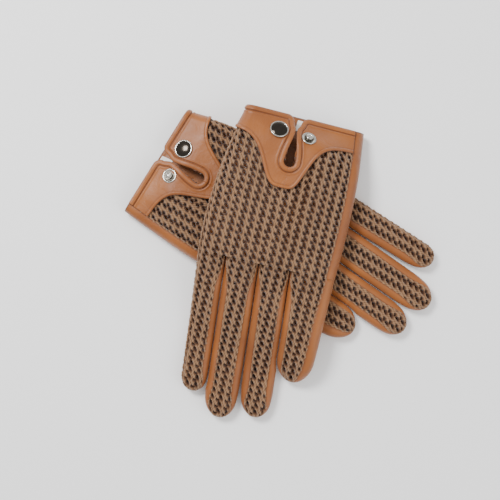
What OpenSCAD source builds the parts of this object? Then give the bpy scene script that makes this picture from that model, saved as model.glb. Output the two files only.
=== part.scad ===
// A pair of men's leather driving gloves with knitted backs, laid one across the other, backs up.
// Millimetres. +Z is up, and the right glove's finger ends and cuff lie on z = 0.
// Each glove is drawn as a right-hand glove in its own plane: x runs from the index side to the
// little-finger side, y runs from the cuff edge to the fingertips. The left glove is its mirror image.

/* [Hand] */
// Width across the cuff, laid flat
cuff_w = 88; // [72:1:106]
// Cuff edge to knuckle line
hand_len = 112; // [94:1:135]
// Height of the flattened hand at the cuff
cuff_h = 12; // [10:0.5:15]
// Height of the flattened hand over the palm
palm_h = 13; // [10.5:0.5:16]
// How far the knuckles sit towards the index side of the cuff's middle
palm_shift = 5; // [0:0.5:8]
// Outward bow of the two edges of the hand
palm_bow = 1.5; // [0:0.25:3]

/* [Fingers] */
// Width of the index finger, laid flat
index_w = 20; // [16.5:0.5:24]
// Width of the middle finger
middle_w = 23.5; // [19.5:0.5:28]
// Width of the ring finger
ring_w = 22.5; // [18.5:0.5:27]
// Width of the little finger
little_w = 33; // [27.5:0.5:39]
// Knuckle line to the tip of the index finger
index_len = 105; // [86:1:126]
// Knuckle line to the tip of the middle finger
middle_len = 120; // [98:1:144]
// Knuckle line to the tip of the ring finger
ring_len = 114; // [94:1:138]
// Knuckle line to the tip of the little finger
little_len = 82; // [68:1:100]
// Height of a flattened finger
finger_h = 11.5; // [9.5:0.5:14]
// Share of its width that an index, middle or ring finger loses towards the tip
finger_taper = 0.08; // [0.05:0.01:0.2]
// Share of its width that the little finger loses towards the tip
little_taper = 0.22; // [0.2:0.01:0.3]
// Gap between neighbouring fingers at the knuckle line
finger_gap = 1.2; // [0.8:0.1:2]

/* [Thumb] */
// Width of the thumb, folded flat under the palm
thumb_w = 25; // [20:0.5:30]
// Length of the thumb
thumb_len = 64; // [53:1:77]
// Height of the folded thumb
thumb_h = 5; // [4:0.25:6]

/* [Leather and knit] */
// Thickness of the leather
leather_t = 1.2; // [1:0.1:1.5]
// Thickness of the knitted back
knit_t = 2.6; // [2.1:0.1:3.2]
// How far the palm leather wraps over the back on the little-finger side
wrap_w = 7; // [5:0.5:9]
// Width of the side strips between the fingers, as an angle round the finger's edge
strip_angle = 80; // [60:5:100]
// How far the knit runs on under the yoke
knit_tuck = 8; // [5:0.5:10]
// Clearance between layers that lie on each other
layer_gap = 0.1; // [0.05:0.01:0.2]
// Clearance between pieces that move on each other
move_gap = 0.5; // [0.4:0.05:0.8]

/* [Yoke and vent] */
// Depth of the yoke at its two ends
yoke_h = 17; // [14:0.5:21]
// Depth of the yoke at the bottom of its scallop
scallop_h = 55; // [50:1:62]
// Half width of the scallop towards the index side
scallop_in = 20; // [17:0.5:24]
// Half width of the scallop towards the little-finger side
scallop_out = 16; // [14:0.5:19]
// Where the vent lies beside the cuff's middle, towards the index side
vent_x = 6; // [2:0.5:10]
// Length of the vent from the cuff edge to its round end
vent_len = 39; // [33:1:43]
// Width of the round end of the vent
vent_w = 9; // [7.5:0.5:11]
// Width of the notch between the flaps at the cuff edge
notch_w = 7; // [5.5:0.5:8.5]
// Length of the cap flap's free edge along the cuff, from the vent to the end of its fold
cap_flap_w = 37; // [35:0.5:39]
// Length of the stud flap's free edge along the cuff, from the vent to the end of its fold
stud_flap_w = 33; // [30:0.5:38]
// Depth of the cuff facing
facing_h = 15; // [12:0.5:18]

/* [Snap fastener] */
// Diameter of the snap cap
cap_d = 13.8; // [11.5:0.1:16]
// Height of the snap cap
cap_h = 2.4; // [2:0.1:3]
// Diameter of the stud's base ring
stud_d = 11; // [9.5:0.1:12.5]
// Diameter of the stud's knob
knob_d = 5.4; // [4.6:0.1:6.2]
// Height of the stud's knob
knob_h = 3; // [2.4:0.1:3.6]
// Diameter of the rivet stems through the leather
stem_d = 3; // [2.6:0.1:3.4]
// Snap centres from the cuff edge
snap_y = 14; // [12:0.5:17]
// Snap cap's centre from the edge of its flap
cap_inset = 11.5; // [9:0.5:13]
// Snap stud's centre from the edge of its flap
stud_inset = 10; // [8:0.5:11.5]

/* [Laying out] */
// Middle of the left glove's cuff
left_at = [20.3, 106.4]; // [-20:0.1:60]
// Turn of the left glove
left_turn = 167; // [160:1:174]
// Middle of the right glove's cuff
right_at = [-92.7, 76.4]; // [-130:0.1:-60]
// Turn of the right glove
right_turn = -122; // [-128:1:-116]
// Length over which the upper glove comes down from the lower glove
slope_len = 46; // [40:1:60]

/* [Hidden] */
$fn = 64;
PIECES = ["palm_trank", "back_knit", "index_front", "middle_front", "ring_front", "little_front",
    "index_back", "middle_back", "ring_back", "little_back",
    "index_fourchette", "middle_fourchette_a", "middle_fourchette_b",
    "ring_fourchette_a", "ring_fourchette_b", "little_fourchette",
    "thumb", "yoke", "cap_flap", "stud_flap", "cuff_facing", "size_label",
    "snap_cap", "snap_socket", "snap_stud", "snap_post"];

leather = "#b27140";
knit = "#967355";
dark_metal = "#3a3733";
nickel = "#b9b8b0";
label_white = "#eeeae2";

// Fingers, from the index finger on
INDEX = 0;
MIDDLE = 1;
RING = 2;
LITTLE = 3;
finger_w = [index_w, middle_w, ring_w, little_w];
finger_len = [index_len, middle_len, ring_len, little_len];
taper = [finger_taper, finger_taper, finger_taper, little_taper];
// Lean of each finger towards the little-finger side, in degrees, as the two gloves lie
left_lean = [4.3, 4, 5.2, 2];
right_lean = [0.3, 2.6, 3.4, -0.4];
palm_w = index_w + middle_w + ring_w + little_w + 3 * finger_gap;
knuckle_l = -palm_shift - palm_w / 2;
knuckle_r = knuckle_l + palm_w;
finger_l = [for (i = 0, x = knuckle_l; i < 4; x = x + finger_w[i] + finger_gap, i = i + 1) x];

yoke_t = leather_t;
vent_at = -vent_x;
flap_len = vent_len - 8;
// Distance of each fold from the vent's centre line at its inner end
fold_in = 4;
cap_at = [vent_at - cap_inset - 1, snap_y];
stud_at = [vent_at + stud_inset, snap_y + 1.5];
// Middle of the thumb's root, and its turn under the palm
thumb_root = [-37, 38];
thumb_turn = -34;
thumb_rise = thumb_h + 3 * layer_gap;
stack_h = palm_h + yoke_t + 4 * layer_gap;

// ---- Rises and falls ----

// Smooth step from 0 to 1
function eased(t) = t <= 0 ? 0 : t >= 1 ? 1 : t * t * (3 - 2 * t);
// 1 between lo and hi, easing to 0 over the length fall on both sides
function mesa(x, lo, hi, fall) = 1 - eased((lo - x) / fall) - eased((x - hi) / fall);
// How far the folded thumb lifts the hand
function thumb_lift(p) = thumb_rise * mesa(p.x, -70, 12, 30) * mesa(p.y, 24, 106, 22);
// A plan point of a glove in the shared plane
function turned(p, a) = [p.x * cos(a) - p.y * sin(a), p.x * sin(a) + p.y * cos(a)];
function placed(p, left) = left ? left_at + turned([-p.x, p.y], left_turn) : right_at + turned(p, right_turn);
// How far the lower glove lifts the upper one at a plan point of the upper glove
function cross_lift(p) =
    let (q = turned(placed(p, true) - right_at, -right_turn))
    (stack_h + thumb_lift([max(q.x, knuckle_l), q.y])) * mesa(q.x, knuckle_l - 6, knuckle_r + 4, slope_len);
// Height of a glove's base, without and with its own thumb
function ground(p, left) = left ? cross_lift(p) : 0;
function base(p, left) = ground(p, left) + thumb_lift(p);

// ---- Cross-sections ----
// A section is [left edge, right edge, height, height of its lowest line]. Going round it, s runs
// 0-1 up the lower index-side round, 1-2 along the bottom, 2-3 round the little-finger side,
// 3-4 back along the top and 4-5 down the upper index-side round.

function hand_section(y) =
    let (t = max(0, min(1, y / hand_len)), e = 1 - (1 - t) * (1 - t), bow = palm_bow * sin(180 * t))
    [-cuff_w / 2 + e * (knuckle_l + cuff_w / 2) - bow, cuff_w / 2 + e * (knuckle_r - cuff_w / 2) + bow,
     cuff_h + (palm_h - cuff_h) * eased(2 * t), 0];

// Section of finger i at share g of its length, narrowing in an arc to its tip
function finger_section(i, g, left) =
    let (w = finger_w[i], lean = left ? left_lean[i] : right_lean[i], len = finger_len[i], d = g * len,
         round_from = 1 - 0.55 * w / len,
         u = max(0, (g - round_from) / (1 - round_from)),
         k = max(0.1, sqrt(max(0, 1 - u * u))),
         mid = finger_l[i] + w / 2 + d * tan(lean),
         half = k * w / 2 * (1 - taper[i] * g),
         h = palm_h + (finger_h - palm_h) * eased(d / 25))
    [mid - half, mid + half, k * h, (1 - k) * h * 0.4];

// Point on a section, a depth in from its outside
function round_point(sec, s, depth) =
    let (r = sec[2] / 2, xl = sec[0] + r, xr = sec[1] - r, q = s > 5 ? s - 5 : s, d = min(depth, 0.8 * r))
    [0, sec[3] + r] + (
        q < 1 ? [xl, 0] + (r - d) * [cos(180 + 90 * q), sin(180 + 90 * q)] :
        q < 2 ? [xl + (xr - xl) * (q - 1), d - r] :
        q < 3 ? [xr, 0] + (r - d) * [cos(270 + 180 * (q - 2)), sin(270 + 180 * (q - 2))] :
        q < 4 ? [xr - (xr - xl) * (q - 3), r - d] :
        [xl, 0] + (r - d) * [cos(90 * (q - 3)), sin(90 * (q - 3))]);

// s of a place x on the top of the section
function top_s(sec, x) = 3 + (sec[1] - sec[2] / 2 - x) / (sec[1] - sec[0] - sec[2]);

// ---- Sheets ----

function steps(a, b, n) = [for (i = [0:n]) a + (b - a) * i / n];

// A closed solid between two equal grids of points
module sheet(outer, inner) {
    rows = len(outer);
    cols = len(outer[0]);
    n = rows * cols;
    function at(r, c) = r * cols + c;
    points = concat([for (row = outer) each row], [for (row = inner) each row]);
    faces = concat(
        [for (r = [0:rows - 2]) for (c = [0:cols - 2])
            each [[at(r, c), at(r, c + 1), at(r + 1, c + 1)], [at(r, c), at(r + 1, c + 1), at(r + 1, c)]]],
        [for (r = [0:rows - 2]) for (c = [0:cols - 2])
            each [[n + at(r, c), n + at(r + 1, c + 1), n + at(r, c + 1)],
                  [n + at(r, c), n + at(r + 1, c), n + at(r + 1, c + 1)]]],
        [for (c = [0:cols - 2])
            each [[at(0, c), n + at(0, c + 1), at(0, c + 1)], [at(0, c), n + at(0, c), n + at(0, c + 1)]]],
        [for (c = [0:cols - 2]) let (r = rows - 1)
            each [[at(r, c), at(r, c + 1), n + at(r, c + 1)], [at(r, c), n + at(r, c + 1), n + at(r, c)]]],
        [for (r = [0:rows - 2])
            each [[at(r, 0), at(r + 1, 0), n + at(r + 1, 0)], [at(r, 0), n + at(r + 1, 0), n + at(r, 0)]]],
        [for (r = [0:rows - 2]) let (c = cols - 1)
            each [[at(r, c), n + at(r + 1, c), at(r + 1, c)], [at(r, c), n + at(r, c), n + at(r + 1, c)]]]);
    polyhedron(points, faces);
}

// Point of the hand's skin
function hand_point(y, s, depth, left) =
    let (q = round_point(hand_section(y), s, depth)) [q.x, y, q.y + base([q.x, y], left)];
// Point of a finger's skin. The inside dome ends one thickness short of the outside one.
function finger_point(i, g, s, depth, left) =
    let (y0 = hand_len + (left ? move_gap : layer_gap), y = y0 + g * (finger_len[i] - move_gap - depth),
         q = round_point(finger_section(i, g, left), s, depth))
    [q.x, y, q.y + base([q.x, y], left)];

// Puts a glove in its place in the pair
module lay(left) {
    if (left) translate([left_at.x, left_at.y, 0]) rotate(left_turn) mirror([1, 0, 0]) children();
    else translate([right_at.x, right_at.y, 0]) rotate(right_turn) children();
}

// ---- Palm and back ----

strip_s = strip_angle / 360;
// s of the seam where the palm leather ends on the back
function wrap_s(sec) = top_s(sec, sec[1] - max(wrap_w, sec[2] / 2 + 0.5));

hand_rows = steps(0, hand_len, 14);
palm_cols = 9;

module palm_trank(left) {
    color(leather) lay(left) {
        cols = concat([0, 0.33, 0.67], steps(1, 2, palm_cols), [2.2, 2.4, 2.6, 2.8, 3]);
        grid = function (depth) [for (y = hand_rows)
            let (wrap = wrap_s(hand_section(y)))
            [for (s = concat(cols, [wrap])) hand_point(y, s, depth, left)]];
        sheet(grid(0), grid(leather_t));
    }
}

// Lower edge of the yoke at a place x across the back
function yoke_edge(x) =
    let (u = (x - vent_at + 1) / (x < vent_at ? scallop_in : scallop_out))
    yoke_h + (scallop_h - yoke_h) / (1 + pow(abs(u), 4));

module back_knit(left) {
    color(knit) lay(left) {
        grid = function (depth) [for (v = steps(0, 1, 13))
            [for (c = steps(0, 1, 18))
                let (x0 = knuckle_r - wrap_w - c * (palm_w - wrap_w),
                     y = (1 - v) * (yoke_edge(x0) - knit_tuck) + v * hand_len,
                     sec = hand_section(y), wrap = wrap_s(sec),
                     s = c < 0.85 ? wrap + (4 - wrap) * c / 0.85 : 4 + (c - 0.85) / 0.15)
                hand_point(y, s, depth, left)]];
        sheet(grid(0), grid(knit_t));
    }
}

// ---- Fingers ----

finger_shares = [0, 0.12, 0.24, 0.36, 0.48, 0.6, 0.7, 0.8, 0.87, 0.92, 0.96, 0.985, 1];

// A finger piece from s = from to s = till
module finger_sheet(i, from, till, cols, thick, left) {
    grid = function (depth) [for (g = finger_shares)
        [for (s = steps(from, till, cols)) finger_point(i, g, s, depth, left)]];
    sheet(grid(0), grid(thick));
}

// The wrapped seam on the little finger, as a share of its top
little_wrap = 3.12;

module finger_front(i, left) {
    from = i == INDEX ? 0 : 2 * strip_s;
    till = i == LITTLE ? little_wrap : 2.5 - strip_s;
    color(leather) lay(left) finger_sheet(i, from, till, i == LITTLE ? 14 : 10, leather_t, left);
}

module finger_back(i, left) {
    from = i == LITTLE ? little_wrap : 2.5 + strip_s;
    till = i == INDEX ? 5 : 5 - 2 * strip_s;
    color(knit) lay(left) finger_sheet(i, from, till, 9, knit_t, left);
}

// Side strip of finger i, on its side towards the index finger or away from it
module fourchette(i, near, left) {
    color(leather) lay(left) {
        if (near) finger_sheet(i, 5 - 2 * strip_s, 5 + 2 * strip_s, 3, leather_t, left);
        else finger_sheet(i, 2.5 - strip_s, 2.5 + strip_s, 3, leather_t, left);
    }
}

// ---- Thumb ----

module thumb(left) {
    color(leather) lay(left) {
        thumb_point = function (g, s, depth)
            let (round_from = 1 - 0.5 * thumb_w / thumb_len,
                 u = max(0, (g - round_from) / (1 - round_from)),
                 k = max(0.15, sqrt(max(0, 1 - u * u))),
                 w = k * thumb_w * (1 - 0.12 * g),
                 q = round_point([-w / 2, w / 2, k * thumb_h, (1 - k) * thumb_h * 0.4], s, depth),
                 p = thumb_root + turned([q.x, g * (thumb_len - depth)], thumb_turn))
            [p.x, p.y, q.y + ground(p, left)];
        grid = function (depth) [for (g = [0, 0.2, 0.4, 0.6, 0.75, 0.85, 0.93, 0.98, 1])
            [for (s = concat([0.02, 0.5], steps(1, 2, 3), [2.5], steps(3, 4, 3), [4.5, 4.98]))
                thumb_point(g, s, depth)]];
        sheet(grid(0), grid(leather_t));
    }
}

// ---- Yoke, vent and flaps ----

// Half width of the vent at a distance y from the cuff edge: a notch, then a slit, then a round end
function vent_half(y) =
    let (end_r = vent_w / 2, end_y = vent_len - end_r)
    y > end_y ? sqrt(max(0, end_r * end_r - (y - end_y) * (y - end_y))) :
    y > end_y - 9 ? move_gap / 2 + (end_r - move_gap / 2) * eased((y - end_y + 9) / 9) :
    y < 16 ? move_gap / 2 + (notch_w / 2 - move_gap / 2) * (1 - y / 16) * (1 - y / 16) : move_gap / 2;

// Point on the outside of the back at plan place x, y; depth is counted inwards
function back_point(x, y, depth, left) =
    let (sec = hand_section(y)) hand_point(y, top_s(sec, x), depth, left);

// The folds run slanting from the cuff edge to the vent's round end. Height y of a fold at a place x.
function fold_y(x) =
    let (w = x < vent_at ? cap_flap_w : stud_flap_w)
    (w - abs(x - vent_at)) / (w - fold_in) * (flap_len + 2);
// Place x of a fold at a height y, on the index side (way = -1) or the little-finger side (way = 1)
function fold_x(y, way) =
    let (w = way < 0 ? cap_flap_w : stud_flap_w) vent_at + way * (w - (w - fold_in) * y / (flap_len + 2));

module yoke(left) {
    // Upper edge: the cuff edge beside the flaps, then the folds, and the vent's round end between them
    upper_edge = function (x) max(0, abs(x - vent_at) < fold_in ?
        vent_len - vent_w / 2 + sqrt(vent_w * vent_w / 4 - (x - vent_at) * (x - vent_at)) :
        fold_y(x) + move_gap);
    ends = [vent_at + stud_flap_w + 1, vent_at - cap_flap_w - 1];
    xs = concat(steps(ends[0], vent_at + fold_in + 0.1, 8),
        [for (a = [30:20:150]) vent_at + vent_w / 2 * cos(a)],
        steps(vent_at - fold_in - 0.1, ends[1], 8));
    point = function (v, x, depth)
        let (y = (1 - v) * upper_edge(x) + v * yoke_edge(x)) back_point(x, y, depth, left);
    side = function (v, s_from, s_end, share, x, depth)
        let (y = v * yoke_edge(x), s = s_from < 0 ? top_s(hand_section(y), x) : s_from)
        hand_point(y, s + (s_end - s) * share, depth, left);
    grid = function (depth) [for (v = steps(0, 1, 8)) concat(
        [for (share = [1, 0.75, 0.5, 0.25]) side(v, -1, 2.6, share, ends[0], depth)],
        [for (x = xs) point(v, x, depth)],
        [for (share = [0.33, 0.67, 1]) side(v, -1, 4.98, share, ends[1], depth)])];
    color(leather) lay(left) sheet(grid(-layer_gap - yoke_t), grid(-layer_gap));
}

// A flap between its fold and the vent, with a hole and a flat pressed seat inside for its snap
module flap(way, at, seat_d, left) {
    grid = function (depth) [for (y = concat([0, 1, 2.5, 5, 8, 12, 16, 20], steps(23, flap_len, 5)))
        let (start = fold_x(y, way) - way * 1.5 * move_gap,
             edge = vent_at + way * (vent_half(y) + (y < 3 ? 0.5 * (3 - y) : 0)))
        [for (x = steps(start, edge, 6)) back_point(x, y, depth, left)]];
    outer = grid(-layer_gap - yoke_t);
    inner = grid(-layer_gap);
    color(leather) lay(left) difference() {
        if (way < 0) sheet(inner, outer);
        else sheet(outer, inner);
        snap_axis(at, left) {
            cylinder(h = 8, d = stem_d + 0.1, center = true);
            translate([0, 0, inside_z + layer_gap - 4]) cylinder(h = 4, d = seat_d + 0.4);
        }
    }
}

module cap_flap(left) { flap(-1, cap_at, socket_d, left); }
module stud_flap(left) { flap(1, stud_at, post_d, left); }

// Point against the palm's inside, laid on the palm's own rows and columns so it follows its facets
function lining_point(y, s, depth, left) =
    let (n = len(hand_rows) - 1, i = floor(y / hand_len * n), f = y / hand_len * n - i,
         flat = s > 1 && s < 2, j = floor((s - 1) * palm_cols), e = flat ? (s - 1) * palm_cols - j : 0,
         s0 = flat ? 1 + j / palm_cols : s, s1 = flat ? 1 + (j + 1) / palm_cols : s,
         row = function (y) (1 - e) * hand_point(y, s0, depth, left) + e * hand_point(y, s1, depth, left))
    (1 - f) * row(hand_rows[i]) + f * row(hand_rows[i + 1]);

// Rows of a lining piece: its two ends and every row of the palm between them
function lining_rows(a, b) = concat([a], [for (y = hand_rows) if (y > a + 0.2 && y < b - 0.2) y], [b]);

lining_gap = 2 * layer_gap;
facing_t = 0.6;

module cuff_facing(left) {
    grid = function (depth) [for (y = lining_rows(1, facing_h))
        [for (s = concat([0.33, 0.67], steps(1, 2, palm_cols), [2.2, 2.4]))
            lining_point(y, s, depth, left)]];
    color(leather) lay(left) sheet(grid(leather_t + lining_gap), grid(leather_t + lining_gap + facing_t));
}

module size_label(left) {
    depth = leather_t + facing_t + 2 * lining_gap;
    grid = function (d) [for (y = lining_rows(1.5, 10.5))
        [for (s = [1.42, 1 + 4 / palm_cols, 1.54]) lining_point(y, s, d, left)]];
    color(label_white) lay(left) sheet(grid(depth), grid(depth + 0.4));
}

// ---- Snap fastener ----

// Stands what it holds on the yoke's outside at a plan place, along the surface's own upright
module snap_axis(at, left) {
    d = 3;
    p = back_point(at.x, at.y, -layer_gap - yoke_t, left);
    dx = back_point(at.x + d, at.y, 0, left).z - back_point(at.x - d, at.y, 0, left).z;
    dy = back_point(at.x, at.y + d, 0, left).z - back_point(at.x, at.y - d, 0, left).z;
    translate(p) rotate([atan(dy / (2 * d)), -atan(dx / (2 * d)), 0]) children();
}

snap_lift = 0.15;

module snap_cap(left) {
    r = cap_d / 2;
    rim = 0.7;
    color(dark_metal) lay(left) snap_axis(cap_at, left) {
        translate([0, 0, snap_lift]) rotate_extrude() difference() {
            union() {
                intersection() {
                    translate([0, rim - (r * r - (cap_h - rim) * (cap_h - rim)) / (2 * (cap_h - rim))])
                        circle(r = (r * r + (cap_h - rim) * (cap_h - rim)) / (2 * (cap_h - rim)));
                    translate([0, rim]) square([r - 0.4, cap_h]);
                }
                square([r, rim]);
            }
            translate([stem_d / 2 + 0.6, -1]) square([r - stem_d / 2 - 1.4, 1 + 0.3]);
        }
        translate([0, 0, -yoke_t - 0.6]) cylinder(h = yoke_t + 0.6 + snap_lift + 0.2, d = stem_d);
    }
}

// Top of the pieces that lie against the inside of a flap, and their widths there
inside_z = -yoke_t - snap_lift;
socket_d = cap_d - 3.9;
post_d = stud_d - 1.5;

module snap_socket(left) {
    color(nickel) lay(left) snap_axis(cap_at, left) translate([0, 0, inside_z]) rotate_extrude() {
        translate([stem_d / 2 + 0.05, -0.5]) square([(socket_d - stem_d) / 2 - 0.05, 0.5]);
        translate([knob_d / 2 + 0.1, -knob_h]) square([0.8, knob_h]);
    }
}

module snap_stud(left) {
    r = stud_d / 2;
    color(nickel) lay(left) snap_axis(stud_at, left) translate([0, 0, snap_lift]) rotate_extrude() {
        translate([stem_d / 2 + 0.05, 0]) square([r - stem_d / 2 - 0.05, 0.5]);
        translate([r - 1.2, 0]) square([1.2, 1.1]);
        difference() {
            translate([stem_d / 2 + 0.05, 0]) square([(knob_d - stem_d) / 2 - 0.05, knob_h]);
            translate([knob_d / 2 + 0.25, 1.2]) circle(d = 1.1);
        }
    }
}

module snap_post(left) {
    color(nickel) lay(left) snap_axis(stud_at, left) {
        translate([0, 0, inside_z - 0.6]) cylinder(h = 0.6, d = post_d);
        translate([0, 0, inside_z - 0.3]) cylinder(h = 0.3 - inside_z + knob_h - 0.6, d = stem_d);
    }
}

// ---- The pair ----

// One piece of a glove by its name
module piece(name, left) {
    if (name == "palm_trank") palm_trank(left);
    if (name == "back_knit") back_knit(left);
    if (name == "index_front") finger_front(INDEX, left);
    if (name == "middle_front") finger_front(MIDDLE, left);
    if (name == "ring_front") finger_front(RING, left);
    if (name == "little_front") finger_front(LITTLE, left);
    if (name == "index_back") finger_back(INDEX, left);
    if (name == "middle_back") finger_back(MIDDLE, left);
    if (name == "ring_back") finger_back(RING, left);
    if (name == "little_back") finger_back(LITTLE, left);
    if (name == "index_fourchette") fourchette(INDEX, false, left);
    if (name == "middle_fourchette_a") fourchette(MIDDLE, true, left);
    if (name == "middle_fourchette_b") fourchette(MIDDLE, false, left);
    if (name == "ring_fourchette_a") fourchette(RING, true, left);
    if (name == "ring_fourchette_b") fourchette(RING, false, left);
    if (name == "little_fourchette") fourchette(LITTLE, true, left);
    if (name == "thumb") thumb(left);
    if (name == "yoke") yoke(left);
    if (name == "cap_flap") cap_flap(left);
    if (name == "stud_flap") stud_flap(left);
    if (name == "cuff_facing") cuff_facing(left);
    if (name == "size_label") size_label(left);
    if (name == "snap_cap") snap_cap(left);
    if (name == "snap_socket") snap_socket(left);
    if (name == "snap_stud") snap_stud(left);
    if (name == "snap_post") snap_post(left);
}

for (name = PIECES) {
    piece(name, false);
    piece(name, true);
}
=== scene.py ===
import math

import bpy
import numpy as np
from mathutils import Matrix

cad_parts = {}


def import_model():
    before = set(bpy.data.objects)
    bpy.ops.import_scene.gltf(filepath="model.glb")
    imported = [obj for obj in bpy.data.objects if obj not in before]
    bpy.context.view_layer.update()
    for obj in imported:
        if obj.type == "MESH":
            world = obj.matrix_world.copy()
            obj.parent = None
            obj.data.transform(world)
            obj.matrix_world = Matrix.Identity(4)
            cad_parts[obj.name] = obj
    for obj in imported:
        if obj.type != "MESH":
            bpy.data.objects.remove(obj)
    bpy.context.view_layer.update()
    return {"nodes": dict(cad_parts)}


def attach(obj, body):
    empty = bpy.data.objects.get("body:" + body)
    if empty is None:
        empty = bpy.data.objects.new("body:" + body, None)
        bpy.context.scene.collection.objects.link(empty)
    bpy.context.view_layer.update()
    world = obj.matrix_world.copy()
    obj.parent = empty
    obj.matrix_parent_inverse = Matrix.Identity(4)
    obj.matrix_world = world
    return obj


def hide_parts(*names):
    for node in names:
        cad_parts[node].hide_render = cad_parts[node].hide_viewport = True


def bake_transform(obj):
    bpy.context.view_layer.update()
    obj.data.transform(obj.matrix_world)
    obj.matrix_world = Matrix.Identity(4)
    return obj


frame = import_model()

# ---- Palm leather ----
# The palm of each glove is one piece of soft tan nappa, cut with the finger fronts. It wraps a
# finger's breadth over the back on the little-finger side, where it is sewn to the knitted back.

LEFT, RIGHT = "left_", "right_"
CUFF_W, HAND_LEN, CUFF_H, PALM_H = 88.0, 112.0, 12.0, 13.0
FINGER_W = (20.0, 23.5, 22.5, 33.0)
FINGER_GAP = 1.2
LEATHER_T, WRAP_W = 1.2, 7.0
PALM_SHIFT, PALM_BOW = 5.0, 1.5
KNUCKLE_L = -PALM_SHIFT - (sum(FINGER_W) + 3 * FINGER_GAP) / 2
KNUCKLE_R = KNUCKLE_L + sum(FINGER_W) + 3 * FINGER_GAP
CUFF_AT = {LEFT: (20.3, 106.4), RIGHT: (-92.7, 76.4)}
TURN = {LEFT: math.radians(167), RIGHT: math.radians(-122)}
THUMB_RISE = 5.3
STACK_H = PALM_H + 1.6
SLOPE_LEN = 46.0


def eased(t):
    t = np.clip(t, 0, 1)
    return t * t * (3 - 2 * t)


def mesa(x, low, high, fall):
    return 1 - eased((low - x) / fall) - eased((x - high) / fall)


def thumb_lift(x, y):
    return THUMB_RISE * mesa(x, -70, 12, 30) * mesa(y, 24, 106, 22)


def lay_out(x, y, side):
    c, s = math.cos(TURN[side]), math.sin(TURN[side])
    x = -x if side == LEFT else x
    return CUFF_AT[side][0] + x * c - y * s, CUFF_AT[side][1] + x * s + y * c


def ground(x, y, side):
    if side == RIGHT:
        return np.zeros_like(x)
    wx, wy = lay_out(x, y, LEFT)
    c, s = math.cos(TURN[RIGHT]), math.sin(TURN[RIGHT])
    dx, dy = wx - CUFF_AT[RIGHT][0], wy - CUFF_AT[RIGHT][1]
    qx, qy = dx * c + dy * s, -dx * s + dy * c
    rise = STACK_H + thumb_lift(np.maximum(qx, KNUCKLE_L), qy)
    return rise * mesa(qx, KNUCKLE_L - 6, KNUCKLE_R + 4, SLOPE_LEN)


def world(x, y, z, side, own_thumb=True):
    z = z + ground(x, y, side) + (thumb_lift(x, y) if own_thumb else 0)
    wx, wy = lay_out(x, y, side)
    return np.stack([wx, wy, z], axis=-1) / 1000


def hand_section(y):
    t = np.clip(y / HAND_LEN, 0, 1)
    e, bow = 1 - (1 - t) ** 2, PALM_BOW * np.sin(math.pi * t)
    low = -CUFF_W / 2 + e * (KNUCKLE_L + CUFF_W / 2) - bow
    high = CUFF_W / 2 + e * (KNUCKLE_R - CUFF_W / 2) + bow
    return low, high, CUFF_H + (PALM_H - CUFF_H) * eased(2 * t), np.zeros_like(y)


def round_point(sec, s, depth):
    """x and z at a place s round a section.

    s runs 0-1 up the lower index side, 1-2 along the bottom, 2-3 round the little-finger side,
    3-4 along the top and 4-5 down the upper index side.
    """
    xl, xr, h, low = sec
    r = h / 2
    d = np.minimum(depth, 0.8 * r)
    q = np.where(s > 5, s - 5, s)
    left_x, right_x = xl + r, xr - r
    turn = np.select([q < 1, q < 2, q < 3, q < 4], [math.pi * (1 + q / 2), 0 * q, math.pi * (q - 0.5), 0 * q],
                     math.pi / 2 * (q - 3))
    x = np.select([q < 1, q < 2, q < 3, q < 4],
                  [left_x + (r - d) * np.cos(turn), left_x + (right_x - left_x) * (q - 1),
                   right_x + (r - d) * np.cos(turn), right_x - (right_x - left_x) * (q - 3)],
                  left_x + (r - d) * np.cos(turn))
    z = np.select([q < 1, q < 2, q < 3, q < 4],
                  [(r - d) * np.sin(turn), d - r, (r - d) * np.sin(turn), r - d], (r - d) * np.sin(turn))
    return x, z + r + low


waves = np.random.default_rng(7).uniform(-1, 1, (12, 4))


def soft_wobble(p, size=0.35):
    """Gentle hollows and swells of soft leather, in millimetres."""
    x, y = p[..., 0] * 1000, p[..., 1] * 1000
    total = np.zeros_like(x)
    for a, b, c, d in waves:
        total += np.sin((x * a + y * b) * (0.22 + 0.1 * c) + 6 * d)
    return size * total / 4


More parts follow.
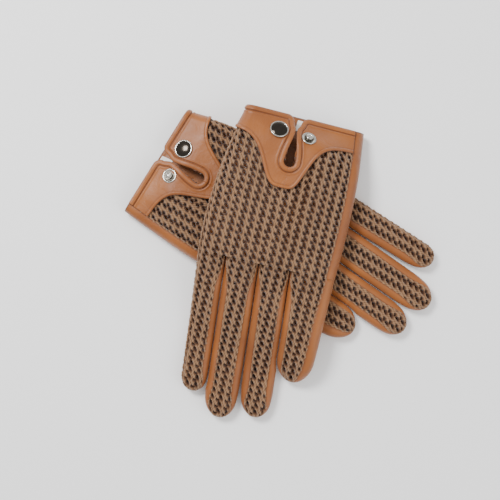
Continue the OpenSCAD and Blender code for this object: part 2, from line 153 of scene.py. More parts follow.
def shell(name, outer, inner_hint, thick, attribute=None, drop=None):
    """A sheet of the given thickness from a grid of outside points.

    inner_hint is the same grid a little inside, which tells the outward side. drop marks the
    points that are cut away.
    """
    rows, cols = outer.shape[:2]
    bpy.ops.object.select_all(action="DESELECT")
    bpy.ops.mesh.primitive_grid_add(x_subdivisions=cols - 1, y_subdivisions=rows - 1, size=1)
    piece = bpy.context.object
    piece.name = name
    piece.data.name = name
    mesh = piece.data
    assert len(mesh.vertices) == rows * cols, (name, len(mesh.vertices), rows, cols)
    mesh.vertices.foreach_set("co", outer.reshape(-1).astype(np.float32))
    mesh.update()
    # This attribute carries painted shade into the materials: dark at seams, grooves, creases and in the
    # knit's openings.
    if attribute is not None:
        layer = mesh.attributes.new("painted_shading", "FLOAT", "POINT")
        layer.data.foreach_set("value", attribute.reshape(-1).astype(np.float32))
    middle = mesh.polygons[len(mesh.polygons) // 2 + cols // 2 - 1]
    v = middle.vertices[0]
    outward = (outer - inner_hint).reshape(-1, 3)[v]
    if np.dot(np.array(middle.normal), outward) < 0:
        mesh.flip_normals()
    if drop is not None:
        gone = drop.reshape(-1)
        bpy.ops.object.mode_set(mode="EDIT")
        bpy.ops.mesh.select_all(action="DESELECT")
        bpy.ops.mesh.select_mode(type="VERT")
        bpy.ops.object.mode_set(mode="OBJECT")
        mesh.vertices.foreach_set("select", gone)
        bpy.ops.object.mode_set(mode="EDIT")
        bpy.ops.mesh.delete(type="VERT")
        bpy.ops.object.mode_set(mode="OBJECT")
    solid = piece.modifiers.new("thickness", "SOLIDIFY")
    solid.thickness = thick / 1000
    solid.offset = -1
    bpy.ops.object.modifier_apply(modifier=solid.name)
    bpy.ops.object.shade_smooth()
    bpy.ops.object.select_all(action="DESELECT")
    piece.location = (0, 0, 0)
    return piece


def leather_material():
    mat = bpy.data.materials.new("tan_nappa")
    mat.use_nodes = True
    n, link = mat.node_tree.nodes, mat.node_tree.links
    shader = n["Principled BSDF"]
    shader.inputs["Specular IOR Level"].default_value = 0.42
    shader.inputs["Sheen Weight"].default_value = 0.12
    place = n.new("ShaderNodeTexCoord")
    patches = n.new("ShaderNodeTexNoise")
    patches.inputs["Scale"].default_value = 28
    patches.inputs["Detail"].default_value = 6
    tones = n.new("ShaderNodeValToRGB")
    tones.color_ramp.elements[0].position = 0.3
    tones.color_ramp.elements[0].color = (0.185, 0.050, 0.0055, 1)
    tones.color_ramp.elements[1].position = 0.72
    tones.color_ramp.elements[1].color = (0.285, 0.087, 0.0115, 1)
    # Painted shade: this attribute node and the mix below darken the leather towards dark brown at seams,
    # grooves and edges, where shade falls.
    seam = n.new("ShaderNodeAttribute")
    seam.attribute_name = "painted_shading"
    dark = n.new("ShaderNodeMix")
    dark.data_type = "RGBA"
    dark.inputs[7].default_value = (0.075, 0.017, 0.004, 1)
    grain = n.new("ShaderNodeTexVoronoi")
    grain.inputs["Scale"].default_value = 1100
    grain.feature = "DISTANCE_TO_EDGE"
    pores = n.new("ShaderNodeTexNoise")
    pores.inputs["Scale"].default_value = 420
    pores.inputs["Detail"].default_value = 5
    mix = n.new("ShaderNodeMath")
    mix.operation = "ADD"
    bump = n.new("ShaderNodeBump")
    bump.inputs["Strength"].default_value = 0.35
    bump.inputs["Distance"].default_value = 0.0003
    creases = n.new("ShaderNodeTexNoise")
    creases.inputs["Scale"].default_value = 85
    creases.inputs["Detail"].default_value = 7
    creases.inputs["Distortion"].default_value = 0.9
    folds = n.new("ShaderNodeBump")
    folds.inputs["Strength"].default_value = 0.45
    folds.inputs["Distance"].default_value = 0.0014
    gloss = n.new("ShaderNodeMapRange")
    gloss.inputs["To Min"].default_value = 0.36
    gloss.inputs["To Max"].default_value = 0.58
    link.new(place.outputs["Object"], creases.inputs["Vector"])
    link.new(creases.outputs["Fac"], folds.inputs["Height"])
    link.new(creases.outputs["Fac"], gloss.inputs["Value"])
    link.new(gloss.outputs["Result"], shader.inputs["Roughness"])
    link.new(folds.outputs["Normal"], bump.inputs["Normal"])
    link.new(place.outputs["Object"], patches.inputs["Vector"])
    link.new(place.outputs["Object"], grain.inputs["Vector"])
    link.new(place.outputs["Object"], pores.inputs["Vector"])
    link.new(patches.outputs["Fac"], tones.inputs["Fac"])
    link.new(seam.outputs["Fac"], dark.inputs[0])
    link.new(tones.outputs["Color"], dark.inputs[6])
    link.new(dark.outputs[2], shader.inputs["Base Color"])
    link.new(grain.outputs["Distance"], mix.inputs[0])
    link.new(pores.outputs["Fac"], mix.inputs[1])
    link.new(mix.outputs["Value"], bump.inputs["Height"])
    link.new(bump.outputs["Normal"], shader.inputs["Normal"])
    return mat


leather = leather_material()


def finish_piece(piece, material, slot_name, *nodes):
    piece.data.materials.append(material)
    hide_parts(*nodes)


def wrap_seam(sec):
    xl, xr, h, _ = sec
    return 3 + (WRAP_W - h / 2) / (xr - xl - h)


for side in (RIGHT, LEFT):
    y = np.linspace(0, HAND_LEN, 90)[:, None]
    sec = hand_section(y)
    seam_s = wrap_seam(sec)
    t = np.concatenate([np.linspace(0, 1, 12)[:-1], np.linspace(1, 2, 40)[:-1], np.linspace(2, 3, 26)])
    wrap = 3 + (seam_s - 3) * np.linspace(0.06, 1, 16)[None, :]
    s = np.concatenate([np.repeat(t[None, :], len(y), 0), wrap], axis=1)
    yy = np.repeat(y, s.shape[1], 1)

    def skin(depth):
        x, z = round_point(sec, s, depth)
        return world(x, yy, z, side)

    before_knuckles = 1 - eased((yy - 92) / 18)
    puff = -0.25 * before_knuckles * np.sin(np.clip((s - 2.2) / (seam_s - 2.2), 0, 1) * math.pi)
    outer = skin(puff)
    flat_w = sec[1] - sec[0] - sec[2]
    # Painted shade: darker along the seam to the knitted back, along the cuff edge and along a line 3 mm in
    # from it.
    edge = np.exp(-((seam_s - s) * flat_w / 0.55) ** 2)
    edge = edge + np.exp(-(yy / 0.8) ** 2) + np.exp(-((yy - 3.0) / 0.35) ** 2)
    wobble = soft_wobble(outer, 0.25) * eased((s - 2) / 0.6) * before_knuckles
    outer[..., 2] += wobble / 1000
    palm = shell(side + "palm", outer, skin(1.0), LEATHER_T, np.clip(edge * 0.9, 0, 1))
    finish_piece(palm, leather, "leather", side + "palm_trank")
    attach(palm, side + "hand")

# ---- Finger fronts and side strips ----
# The finger fronts are the palm leather's four tongues. Fourchettes, narrow leather strips, join
# front to back along the sides that face another finger.

FINGERS = ("index", "middle", "ring", "little")
FINGER_LEN = (105.0, 120.0, 114.0, 82.0)
FINGER_TAPER = (0.08, 0.08, 0.08, 0.22)
FINGER_H = 11.5
LEAN = {LEFT: (4.3, 4.0, 5.2, 2.0), RIGHT: (0.3, 2.6, 3.4, -0.4)}
ROOT_X = [KNUCKLE_L + sum(FINGER_W[:i]) + i * FINGER_GAP for i in range(4)]
STRIP = 80 / 360


def finger_section(i, share, side):
    w, d = FINGER_W[i], share * FINGER_LEN[i]
    round_from = 1 - 0.55 * w / FINGER_LEN[i]
    u = np.clip((share - round_from) / (1 - round_from), 0, 1)
    k = np.maximum(0.02, np.sqrt(np.maximum(0, 1 - u * u)))
    mid = ROOT_X[i] + w / 2 + d * math.tan(math.radians(LEAN[side][i]))
    half = k * w / 2 * (1 - FINGER_TAPER[i] * share)
    h = PALM_H + (FINGER_H - PALM_H) * eased(d / 25)
    return mid - half, mid + half, k * h, (1 - k) * h * 0.4


def little_wrap(share):
    """Where the little finger's leather ends on its back: the palm's seam at the root, then wider."""
    return 3.025 + 0.11 * eased(share * 2.5)


def strip_reach(i, share):
    """Degrees that a side strip reaches round onto the back: few at the root, most along the finger."""
    d = share * FINGER_LEN[i]
    return 22 + 50 * eased(d / 26) - 34 * eased((share - 0.78) / 0.22)


def finger_grid(i, s_from, s_till, rows, cols, side):
    share = (1 - (1 - np.linspace(0, 1, rows)) ** 1.5)[:, None]
    start = s_from(share) if callable(s_from) else s_from
    stop = s_till(share) if callable(s_till) else s_till
    across = np.linspace(0, 1, cols)[None, :] + 0 * share
    s = start + (stop - start) * across
    share = share + 0 * s

    def grid(depth):
        x, z = round_point(finger_section(i, share, side), s, depth)
        y = HAND_LEN + share * (FINGER_LEN[i] - 0.5 - np.maximum(depth, 0))
        return world(x, y, z, side)

    return grid, share, s, across


def finger_ride(piece, i, side):
    if side == RIGHT:
        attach(piece, "right_hand")
        return
    mid = ROOT_X[i] + FINGER_W[i] / 2
    top = np.array([PALM_H])
    ends = [world(np.array([mid]), np.array([HAND_LEN + d]), top, LEFT)[0] for d in (0.0, 16.0)]
    ends[1][2] = ends[0][2]
    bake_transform(piece)


for side in (RIGHT, LEFT):
    for i, name in enumerate(FINGERS):
        s_from = 0 if i == 0 else 2 * STRIP
        s_till = little_wrap if i == 3 else 2.5 - STRIP
        grid, share, s, across = finger_grid(i, s_from, s_till, 90, 44, side)
        # Painted shade along both long edges, where the front meets its side strips or the knit.
        painted_shading = 0.55 * np.exp(-((1 - across) * 30) ** 2) + 0.55 * np.exp(-(across * 30) ** 2)
        front = shell(side + name + "_front_leather", grid(0.0), grid(1.0), LEATHER_T, painted_shading)
        finish_piece(front, leather, "leather", side + name + "_front")
        finger_ride(front, i, side)
        strips = (("far",), ("near", "far"), ("near", "far"), ("near",))[i]
        for where in strips:
            if where == "near":
                grid, share, s, across = finger_grid(
                    i, lambda t, i=i: 5 - strip_reach(i, t) / 90, 5 + 2 * STRIP, 90, 22, side)
            else:
                grid, share, s, across = finger_grid(
                    i, lambda t, i=i: 2.5 + strip_reach(i, t) / 180, 2.5 - STRIP, 90, 22, side)
            beside = i - 1 if where == "near" else i + 1
            reach = np.clip(share * FINGER_LEN[i] / FINGER_LEN[beside], 0, 1)
            own, other = finger_section(i, share, side), finger_section(beside, reach, side)
            gap = own[0] - other[1] if where == "near" else other[0] - own[1]
            fade = 1 - eased((share - 0.8) / 0.2)
            swell = np.clip(gap / 2 - 0.1, 0.3, 1.9) * np.sin(across * math.pi) * fade - 0.1
            # Painted shade: dark along the edge that meets the knitted back, and darker over the half that
            # turns down into the gap beside the next finger.
            painted_shading = 0.85 * np.exp(-(across / 0.045) ** 2) + 0.6 * eased((across - 0.45) / 0.5)
            painted_shading = np.clip(painted_shading, 0, 1)
            strip = shell(side + name + "_strip_" + where, grid(-swell), grid(1 - swell), LEATHER_T, painted_shading)
            suffix = "" if len(strips) == 1 else "_a" if where == "near" else "_b"
            node = side + name + "_fourchette" + suffix
            finish_piece(strip, leather, "leather", node)
            finger_ride(strip, i, side)

# ---- Knitted back ----
# The back of the hand and the fingers is open crochet in twisted tan yarn. Each stitch leaves two
# openings, a slanting slot and a small arch, with raised slanting strands between them.

STITCH_W, STITCH_L = 6.8, 5.2
# The slot and the arch: place in the stitch, half length and half width in millimetres, slant
HOLES = ((0.66, 0.62, 1.95, 1.12, 57), (0.37, 0.05, 1.25, 0.92, 20))
KNIT_TUCK = 8.0
VENT_X = -6.0


def yoke_edge(x):
    u = (x - VENT_X + 1) / np.where(x < VENT_X, 20.0, 16.0)
    return 17 + 38 / (1 + u ** 4)


def cell_noise(a, b, seed):
    v = np.sin(a * 12.9898 + b * 78.233 + seed * 37.719) * 43758.5453
    return v - np.floor(v) - 0.5


def stitches(u, v):
    """How deep inside an opening a place is, in millimetres, the ply's twist, and the creases between the
    strands; these shape the relief and the painted shade of the strand.
    """
    col, row = np.floor(u / STITCH_W), np.floor(v / STITCH_L)
    best = np.full_like(u, -9.0)
    for dc in (-1, 0, 1):
        for dr in (-1, 0, 1):
            c, r = col + dc, row + dr
            for kind, (cu, cv, long_r, short_r, angle) in enumerate(HOLES):
                ju, jv = cell_noise(c, r, kind) * 0.5, cell_noise(c, r, kind + 5) * 0.4
                du = u - (c + cu) * STITCH_W - ju
                dv = v - (r + cv) * STITCH_L - jv
                a = math.radians(angle) + cell_noise(c, r, kind + 9) * 0.35
                p, q = du * np.cos(a) + dv * np.sin(a), -du * np.sin(a) + dv * np.cos(a)
                q = q + 0.18 * p * p * (1 if kind else 0.3)
                grow = 1 + 0.25 * cell_noise(c, r, kind + 13)
                away = np.sqrt((p / long_r) ** 2 + (q / short_r) ** 2) / grow
                best = np.maximum(best, (1 - away) * short_r * grow)
    slant = math.atan2(2 * STITCH_L, STITCH_W)
    spacing = STITCH_W * STITCH_L / math.hypot(STITCH_W, 2 * STITCH_L)
    line = (v - 0.62 * STITCH_L) * math.cos(slant) - (u - 0.66 * STITCH_W) * math.sin(slant)
    crease = 0.5 + 0.5 * np.cos(2 * math.pi * line / spacing)
    ply = np.sin((u * 0.9 + v * 0.45) * 2 * math.pi / 1.5)
    return best, ply, crease ** 2


def knit_relief(u, v, border):
    """Depth of the yarn's surface, its painted shade (dark down in the openings and along the creases between
    stitches), and where the fabric is open.
    """
    inside, ply, crease = stitches(u, v)
    shut = eased(border / 1.6)
    inside = inside * shut - 0.9 * (1 - shut)
    down = eased((inside + 0.95) / 1.5)
    depth = 1.9 * down + (0.55 * crease - 0.2 * ply) * (1 - down) - 0.4
    # Painted shade: the strand darkens as it goes down into an opening and along the creases between
    # stitches, and is lighter on the ply's ridges.
    painted_shading = np.clip(1 - 1.35 * down - (0.42 * crease - 0.16 * ply) * (1 - down), 0, 1)
    return depth, painted_shading, inside > 0.52


def knit_material():
    mat = bpy.data.materials.new("tan_yarn")
    mat.use_nodes = True
    n, link = mat.node_tree.nodes, mat.node_tree.links
    shader = n["Principled BSDF"]
    shader.inputs["Roughness"].default_value = 0.85
    shader.inputs["Sheen Weight"].default_value = 0.25
    shader.inputs["Specular IOR Level"].default_value = 0.2
    place = n.new("ShaderNodeTexCoord")
    # Painted shade: this node reads the per-point shading attribute, and the ramp runs the yarn from near
    # black deep in the openings through mid brown to light tan on the raised strands.
    height = n.new("ShaderNodeAttribute")
    height.attribute_name = "painted_shading"
    tones = n.new("ShaderNodeValToRGB")
    tones.color_ramp.elements[0].position = 0.0
    tones.color_ramp.elements[0].color = (0.03, 0.008, 0.002, 1)
    tones.color_ramp.elements[1].position = 1.0
    tones.color_ramp.elements[1].color = (0.265, 0.150, 0.079, 1)
    mid = tones.color_ramp.elements.new(0.55)
    mid.color = (0.145, 0.073, 0.035, 1)
    fibre = n.new("ShaderNodeTexNoise")
    fibre.inputs["Scale"].default_value = 900
    fibre.inputs["Detail"].default_value = 4
    lighter = n.new("ShaderNodeMix")
    lighter.data_type = "RGBA"
    lighter.blend_type = "OVERLAY"
    lighter.inputs[0].default_value = 0.35
    bump = n.new("ShaderNodeBump")
    bump.inputs["Strength"].default_value = 0.5
    bump.inputs["Distance"].default_value = 0.0004
    link.new(place.outputs["Object"], fibre.inputs["Vector"])
    link.new(height.outputs["Fac"], tones.inputs["Fac"])
    link.new(tones.outputs["Color"], lighter.inputs[6])
    link.new(fibre.outputs["Fac"], lighter.inputs[7])
    link.new(lighter.outputs[2], shader.inputs["Base Color"])
    link.new(fibre.outputs["Fac"], bump.inputs["Height"])
    link.new(bump.outputs["Normal"], shader.inputs["Normal"])
    return mat


yarn = knit_material()
KNIT_STEP, YARN_T = 0.5, 0.8


def unrolled(sec, span):
    """s for a distance along the back, measured in x on the flat top and along the curve past it."""
    xl, xr, h, _ = sec
    r = h / 2
    flat = 3 + (xr - r - span) / (xr - xl - h)
    over_left = 4 + (xl + r - span) / (r * math.pi / 2)
    over_right = 3 - (span - (xr - r)) / (r * math.pi)
    return np.where(span < xl + r, over_left, np.where(span > xr - r, over_right, flat))


for side in (RIGHT, LEFT):
    cols = int((KNUCKLE_R - KNUCKLE_L) / KNIT_STEP)
    rows = int((HAND_LEN - 12) / KNIT_STEP)
    across = np.linspace(0, 1, cols)[None, :]
    down = np.linspace(0, 1, rows)[:, None]
    x0 = KNUCKLE_L - 3 + across * (KNUCKLE_R - KNUCKLE_L - WRAP_W + 3)
    y = (yoke_edge(x0) - KNIT_TUCK) * (1 - down) + HAND_LEN * down
    sec = hand_section(y)
    low, high = sec[0] - 0.5708 * sec[2] / 2, sec[1] - WRAP_W
    span = low + across * (high - low)
    s = np.minimum(unrolled(sec, span), 4.999)
    border = np.minimum(np.minimum(span - low, high - span), 50)
    relief, painted_shading, opened = knit_relief(span, y, border)

    def knit_skin(depth):
        x, z = round_point(sec, s, depth)
        return world(x, y, z, side)

    back = shell(side + "knitted_back", knit_skin(relief), knit_skin(relief + 1), YARN_T, painted_shading, opened)
    finish_piece(back, yarn, "knit", side + "back_knit")
    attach(back, side + "hand")
    for i, name in enumerate(FINGERS):
        girth = FINGER_W[i] * (0.95 if i == 3 else 1.0) + (5 if i == 0 else 0)
        rows, cols = int(FINGER_LEN[i] / KNIT_STEP), int((girth + 4) / KNIT_STEP)
        share = (1 - (1 - np.linspace(0, 1, rows)) ** 1.12)[:, None]
        s_from = little_wrap(share) if i == 3 else 2.5 + strip_reach(i, share) / 180
        s_till = 4.999 + 0 * share if i == 0 else 5 - strip_reach(i, share) / 90
        u = np.linspace(0, 1, cols)[None, :] + 0 * share
        share = share + 0 * u
        sec = finger_section(i, share, side)
        flat_w = sec[1] - sec[0] - sec[2]
        right_arc = (3 - s_from) * math.pi * sec[2] / 2 if i < 3 else -(s_from - 3) * flat_w
        left_arc = (s_till - 4) * math.pi / 2 * sec[2] / 2
        total = right_arc + flat_w + left_arc
        run = u * total
        s = np.where(run < right_arc, 3 - (right_arc - run) / (math.pi * sec[2] / 2),
                     np.where(run < right_arc + flat_w, 3 + (run - right_arc) / np.maximum(flat_w, 0.1),
                              4 + (run - right_arc - flat_w) / (math.pi / 4 * sec[2])))
        s = np.clip(s, s_from, s_till)
        y = HAND_LEN + share * (FINGER_LEN[i] - 0.5)
        spread = sec[1] + right_arc - sec[2] / 2 - run
        border = np.minimum(np.minimum(run, total - run) + 0.3, (1 - share) * FINGER_LEN[i] * 0.5)
        relief, painted_shading, opened = knit_relief(spread, y, border)

        def finger_skin(depth):
            x, z = round_point(sec, s, depth)
            return world(x, HAND_LEN + share * (FINGER_LEN[i] - 0.5 - np.maximum(depth, 0)), z, side)

        knitted = shell(side + name + "_knitted_back", finger_skin(relief), finger_skin(relief + 1),
                        YARN_T, painted_shading, opened)
        finish_piece(knitted, yarn, "knit", side + name + "_back")
        finger_ride(knitted, i, side)

# ---- Thumb ----
# The thumb is all leather. It lies folded flat under the palm, so that only its root shows, where
# it is sewn into the palm.

THUMB_W, THUMB_LEN, THUMB_H = 25, 64, 5
THUMB_ROOT, THUMB_TURN = (-37, 38), math.radians(-34)

for side in (RIGHT, LEFT):
    share = np.linspace(0, 0.999, 50)[:, None]
    s = np.concatenate([np.linspace(0.02, 1, 8), np.linspace(1.1, 2, 10), np.linspace(2.1, 3, 12),
                        np.linspace(3.1, 4, 10), np.linspace(4.15, 4.98, 7)])[None, :] + 0 * share
    share = share + 0 * s

    def thumb_skin(depth):
        u = np.clip((share - 0.805) / 0.195, 0, 1)
        k = np.maximum(0.15, np.sqrt(1 - u * u))
        w = k * THUMB_W * (1 - 0.12 * share)
        x, z = round_point((-w / 2, w / 2, k * THUMB_H, (1 - k) * 2), s, depth)
        y = share * (THUMB_LEN - depth)
        c, turned_s = math.cos(THUMB_TURN), math.sin(THUMB_TURN)
        px = THUMB_ROOT[0] + x * c - y * turned_s
        py = THUMB_ROOT[1] + x * turned_s + y * c
        return world(px, py, z, side, False)

    thumb = shell(side + "thumb_leather", thumb_skin(0.0), thumb_skin(1.0), LEATHER_T, 0 * share)
    finish_piece(thumb, leather, "leather", side + "thumb")
    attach(thumb, side + "hand")

# ---- Yoke with its two flaps ----
# A leather band across the wrist. Its lower edge dips in a scallop under the teardrop vent, and the
# cuff and vent edges are turned over and stitched. On the glove each half folds back slantwise as a flap;
# here both halves are baked in place and ride no flap body.

CAP_FOLD_W, STUD_FOLD_W, FOLD_IN, FLAP_LEN = 37.0, 33.0, 4.0, 31.0
YOKE_LIFT = 0.15


def half_yoke_edges(way, n):
    """One half's cuff-and-vent edge and lower edge, in plan, from the side seam to the vent's end."""
    t = np.linspace(0, 1, n)

    def seam_at(y):
        part = hand_section(np.array(float(y)))
        return float(part[0] - 0.5708 * part[2] / 2 if way < 0 else part[1] - WRAP_W)

    cuff_end = VENT_X + way * 8.5
    cuff_start = seam_at(0)
    upper = [np.array([cuff_start + (cuff_end - cuff_start) * k, 0.0]) for k in np.linspace(0, 1, 40)]
    upper += [np.array([VENT_X + way * (8.5 - 6.0 * math.sin(a)), 6.5 - 6.5 * math.cos(a)])
              for a in np.linspace(0.1, math.pi / 2 * 0.8, 14)]
    first_y, first_half = upper[-1][1], abs(upper[-1][0] - VENT_X)
    for y_at in np.linspace(first_y + 0.8, 35, 34):
        narrow = first_half + (0.45 - first_half) * float(eased(np.array((y_at - first_y) / 7)))
        leaf = 3.8 * float(eased(np.array((y_at - 10) / 25)))
        upper.append(np.array([VENT_X + way * max(narrow, 0.45 + leaf), y_at]))
    upper += [np.array([VENT_X + way * 4.25 * math.cos(a), 35 + 4 * math.sin(a)])
              for a in np.linspace(0.1, math.pi / 2, 16)]
    upper = np.array(upper)
    side_x = seam_at(17.5)
    xs = side_x + (VENT_X - side_x) * np.linspace(0, 1, 160)
    lower = np.stack([xs, yoke_edge(xs)], axis=1)

    def even(points):
        length = np.concatenate([[0], np.cumsum(np.linalg.norm(np.diff(points, axis=0), axis=1))])
        return np.stack([np.interp(t * length[-1], length, points[:, k]) for k in (0, 1)], axis=1)

    return even(upper), even(lower)


def back_world(x, y, depth, side):
    sec = hand_section(y)
    s = np.clip(unrolled(sec, x), 2.62, 4.98)
    px, pz = round_point(sec, s, depth)
    return world(px, y, pz, side)


def flap_blend(piece, way, side):
    w = CAP_FOLD_W if way < 0 else STUD_FOLD_W
    a = np.array([VENT_X + way * w, 0.0])
    b = np.array([VENT_X + way * FOLD_IN, FLAP_LEN + 2])
    mid, along = (a + b) / 2, (b - a) / np.linalg.norm(b - a)
    across = np.array([along[1], -along[0]]) * (-way)
    if np.dot(across, np.array([VENT_X, 0.0]) - mid) < 0:
        across = -across
    points = [mid + across * d for d in (-0.5, 5.0)]
    ends = [back_world(np.array([p[0]]), np.array([p[1]]), 0.0, side)[0] for p in points]
    ends[1][2] = ends[0][2]
    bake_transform(piece)


for side in (RIGHT, LEFT):
    for way, name, node in ((-1, "cap_half_yoke", "cap_flap"), (1, "stud_half_yoke", "stud_flap")):
        cols = 190
        upper, lower = half_yoke_edges(way, cols)
        v = [np.linspace(0, 0.35, 30)[:-1], np.linspace(0.35, 0.8, 18)[:-1], np.linspace(0.8, 1, 26)]
        v = np.concatenate(v)[:, None, None]
        plan = (1 - v) * upper[None] + v * lower[None]
        x, y = plan[..., 0], plan[..., 1]
        both = np.concatenate([upper, half_yoke_edges(-way, cols)[0]])
        from_upper = np.min(np.hypot(x[..., None] - both[:, 0], y[..., None] - both[:, 1]), axis=2)
        from_lower = np.min(np.hypot(x[..., None] - lower[:, 0], y[..., None] - lower[:, 1]), axis=2)
        roll = 0.95 * np.sqrt(np.clip(1 - ((from_upper - 1.9) / 1.9) ** 2, 0, 1))
        groove = 0.45 * np.exp(-((from_upper - 4.0) / 0.4) ** 2)
        second = 0.3 * np.exp(-((from_upper - 5.2) / 0.8) ** 2)
        lip = 0.75 * np.sqrt(np.clip(1 - ((from_lower - 1.3) / 1.3) ** 2, 0, 1))
        height = YOKE_LIFT + LEATHER_T + roll - groove + second + lip
        flat = back_world(x, y, -height, side)
        wobble = soft_wobble(flat, 0.3) * eased(from_upper / 4) * eased(from_lower / 3)
        outer = back_world(x, y, -(height + wobble), side)
        # Painted shade: darker in the stitched groove, in the crease inside the lower lip, and along the
        # cuff, vent and lower edges.
        painted_shading = 0.8 * np.exp(-((from_upper - 4.0) / 0.38) ** 2)
        painted_shading = painted_shading + 0.35 * np.exp(-((from_lower - 2.9) / 0.35) ** 2)
        painted_shading = painted_shading + 0.6 * np.exp(-(from_lower / 0.5) ** 2) + 0.3 * np.exp(-(from_upper / 0.4) ** 2)
        inner = back_world(x, y, -(height + wobble) + 1, side)
        half = shell(side + name, outer, inner, LEATHER_T + 0.1, np.clip(painted_shading, 0, 1))
        nodes = (side + node, side + "yoke") if way < 0 else (side + node,)
        finish_piece(half, leather, "leather", *nodes)
        flap_blend(half, way, side)

# ---- Cuff facing and size label ----
# A thin leather facing lines the palm side of the cuff, and a small blank white tape is sewn to it.


def label_material():
    mat = bpy.data.materials.new("white_tape")
    mat.use_nodes = True
    n, link = mat.node_tree.nodes, mat.node_tree.links
    shader = n["Principled BSDF"]
    shader.inputs["Roughness"].default_value = 0.8
    place = n.new("ShaderNodeTexCoord")
    weave = n.new("ShaderNodeTexNoise")
    weave.inputs["Scale"].default_value = 1500
    tones = n.new("ShaderNodeValToRGB")
    tones.color_ramp.elements[0].color = (0.7, 0.68, 0.63, 1)
    tones.color_ramp.elements[1].color = (0.92, 0.91, 0.88, 1)
    bump = n.new("ShaderNodeBump")
    bump.inputs["Strength"].default_value = 0.4
    bump.inputs["Distance"].default_value = 0.0002
    link.new(place.outputs["Object"], weave.inputs["Vector"])
    link.new(weave.outputs["Fac"], tones.inputs["Fac"])
    link.new(tones.outputs["Color"], shader.inputs["Base Color"])
    link.new(weave.outputs["Fac"], bump.inputs["Height"])
    link.new(bump.outputs["Normal"], shader.inputs["Normal"])
    return mat


tape = label_material()
LININGS = (
    ("cuff_lining", "cuff_facing", (1, 15), (0.1, 2.5), 1.3, 0.6, leather, "leather"),
    ("blank_label", "size_label", (1.5, 10.5), (1.42, 1.54), 2.0, 0.4, tape, "label"),
)

for side in (RIGHT, LEFT):
    for name, node, y_range, s_range, depth, thick, mat, slot_name in LININGS:
        y = np.linspace(*y_range, 20)[:, None]
        s = np.linspace(*s_range, 60)[None, :] + 0 * y
        y = y + 0 * s

        def lining(d):
            x, z = round_point(hand_section(y), s, d)
            return world(x, y, z, side)

        piece = shell(side + name, lining(depth), lining(depth - 1), thick, 0 * y)
        finish_piece(piece, mat, slot_name, side + node)
        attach(piece, side + "hand")

# ---- Snap fasteners ----
# Pressed metal: a dark domed cap with a bright rim, its socket, and a nickel stud with its post.
# Each is riveted through its flap, so it turns back with the flap.

CAP_H, STUD_H = 2.4, 3.2


def metal(name, colour, rough):
    mat = bpy.data.materials.new(name)
    mat.use_nodes = True
    n, link = mat.node_tree.nodes, mat.node_tree.links
    shader = n["Principled BSDF"]
    shader.inputs["Metallic"].default_value = 1.0
    place = n.new("ShaderNodeTexCoord")
    wear = n.new("ShaderNodeTexNoise")
    wear.inputs["Scale"].default_value = 350
    wear.inputs["Detail"].default_value = 5
    tones = n.new("ShaderNodeValToRGB")
    tones.color_ramp.elements[0].color = tuple(c * 0.8 for c in colour) + (1,)
    tones.color_ramp.elements[1].color = tuple(min(1, c * 1.15) for c in colour) + (1,)
    gloss = n.new("ShaderNodeMapRange")
    gloss.inputs["To Min"].default_value = rough * 0.7
    gloss.inputs["To Max"].default_value = rough * 1.4
    link.new(place.outputs["Object"], wear.inputs["Vector"])
    link.new(wear.outputs["Fac"], tones.inputs["Fac"])
    link.new(tones.outputs["Color"], shader.inputs["Base Color"])
    link.new(wear.outputs["Fac"], gloss.inputs["Value"])
    link.new(gloss.outputs["Result"], shader.inputs["Roughness"])
    return mat


gunmetal = metal("gunmetal", (0.045, 0.038, 0.031), 0.16)
nickel = metal("nickel", (0.50, 0.48, 0.43), 0.18)
# Painted shade: a darkened copy of the nickel for the stud's recessed well.
shadowed = metal("nickel_painted_shade", (0.10, 0.09, 0.075), 0.3)


def turned(name, node, profile, material, body):
    """A turned piece on a snap's own place and axis; profile is radius and height, bottom first."""
    co = np.array([v.co for v in frame["nodes"][node].data.vertices], float)
    middle = (co.max(0) + co.min(0)) / 2
    axis = np.linalg.svd(co - co.mean(0), full_matrices=False)[2][-1]
    axis = axis * np.sign(axis[2])
    low = ((co - middle) @ axis).max() - (CAP_H if "cap" in node else STUD_H) / 1000
    side_way = np.cross(axis, [0.0, 1.0, 0.0])
    side_way /= np.linalg.norm(side_way)
    other = np.cross(axis, side_way)
    turn = np.linspace(0, 2 * math.pi, 49)[None, :]
    r, z = (np.array(profile)[:, k, None] / 1000 for k in (0, 1))
    ring = (middle + (low + z)[..., None] * axis + (r * np.cos(turn))[..., None] * side_way
            + (r * np.sin(turn))[..., None] * other)
    bpy.ops.object.select_all(action="DESELECT")
    bpy.ops.mesh.primitive_grid_add(x_subdivisions=48, y_subdivisions=len(profile) - 1, size=1)
    piece = bpy.context.object
    piece.name = name
    piece.data.vertices.foreach_set("co", ring.reshape(-1).astype(np.float32))
    bpy.ops.object.mode_set(mode="EDIT")
    bpy.ops.mesh.select_all(action="SELECT")
    bpy.ops.mesh.remove_doubles(threshold=0.00001)
    bpy.ops.mesh.normals_make_consistent(inside=False)
    bpy.ops.object.mode_set(mode="OBJECT")
    bpy.ops.object.shade_smooth_by_angle(angle=math.radians(50))
    bpy.ops.object.select_all(action="DESELECT")
    piece.location = (0, 0, 0)
    piece.data.materials.append(material)
    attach(piece, body)
    return piece


DOME = ((0, 0.2), (5.9, 0.2), (5.9, 1.25), (5.4, 1.55), (4.4, 1.9), (3.0, 2.2), (1.5, 2.36), (0, 2.4))
CAP_RIM = ((5.7, 0.1), (6.6, 0), (6.9, 0.3), (6.9, 0.8), (6.65, 1.2), (6.3, 1.35), (5.95, 1.2), (5.7, 0.9),
           (5.7, 0.1))
STUD_RING = ((3.2, 0.1), (5.3, 0), (5.5, 0.35), (5.35, 0.85), (4.9, 1.1), (4.4, 0.95), (3.9, 0.5), (3.2, 0.4),
             (3.2, 0.1))
WELL = ((0, 0.1), (3.6, 0.1), (3.6, 0.5), (2.0, 0.5), (0, 0.5))
KNOB = ((0, 0.4), (2.1, 0.4), (2.1, 1.6), (2.6, 2.1), (2.65, 2.6), (2.3, 3.05), (1.5, 3.2), (1.1, 2.8),
        (0, 2.75))

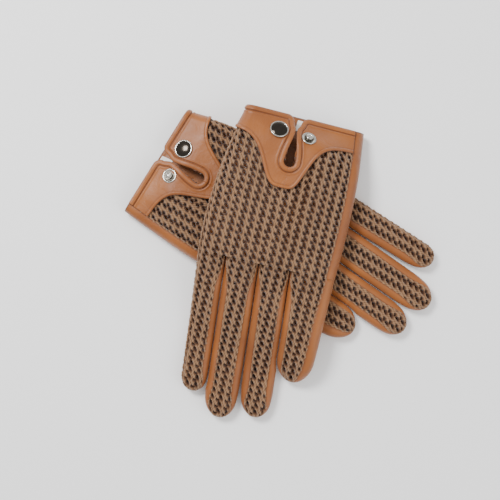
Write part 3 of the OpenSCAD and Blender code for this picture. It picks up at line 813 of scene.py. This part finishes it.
for side in (RIGHT, LEFT):
    cap_node, stud_node = side + "snap_cap", side + "snap_stud"
    cap_body, stud_body = side + "cap_flap", side + "stud_flap"
    dome = turned(side + "cap_dome", cap_node, DOME, gunmetal, cap_body)
    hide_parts(side + "snap_cap")
    turned(side + "cap_rim", cap_node, CAP_RIM, nickel, cap_body)
    stud = turned(side + "stud_ring", stud_node, STUD_RING, nickel, stud_body)
    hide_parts(side + "snap_stud")
    # The stud's well is nickel painted dark as shade.
    turned(side + "stud_well", stud_node, WELL, shadowed, stud_body)
    turned(side + "stud_knob", stud_node, KNOB, nickel, stud_body)
    for node in ("snap_socket", "snap_post"):
        part = frame["nodes"][side + node]
        part.data.materials.clear()
        part.data.materials.append(nickel)

# ---- Table, light and camera ----
# A plain pale table, soft light from above, and the camera straight above the pair.

bpy.ops.object.select_all(action="DESELECT")
bpy.ops.mesh.primitive_plane_add(size=6, location=(0, 0, -0.0005))
table = bpy.context.object
table.name = "table"
paper = bpy.data.materials.new("pale_table")
paper.use_nodes = True
shader = paper.node_tree.nodes["Principled BSDF"]
shader.inputs["Base Color"].default_value = (0.93, 0.93, 0.93, 1)
shader.inputs["Roughness"].default_value = 0.9
table.data.materials.append(paper)

surround = bpy.data.worlds.new("surround")
surround.use_nodes = True
sky = surround.node_tree.nodes["Background"]
sky.inputs["Color"].default_value = (1, 1, 1, 1)
sky.inputs["Strength"].default_value = 0.9
bpy.context.scene.world = surround
LAMPS = (("key", (-0.5, 0.55, 0.9), 0.35, 16), ("fill", (0.7, -0.3, 0.8), 0.8, 5))
for name, at, size, power in LAMPS:
    bpy.ops.object.light_add(type="AREA", location=at)
    lamp = bpy.context.object
    lamp.name = name
    lamp.data.size = size
    lamp.data.energy = power
    tilt = np.arctan2(at[0], math.hypot(at[1], at[2]))
    lamp.rotation_euler = (-np.arctan2(at[1], at[2]), tilt, 0)

CAMERA_H = 0.816
bpy.ops.object.camera_add(location=(-0.022, 0.0098, CAMERA_H), rotation=(0, 0, 0))
camera = bpy.context.object
camera.data.sensor_width = 36
camera.data.lens = 77.6
camera.data.clip_start = 0.01
bpy.context.scene.camera = camera
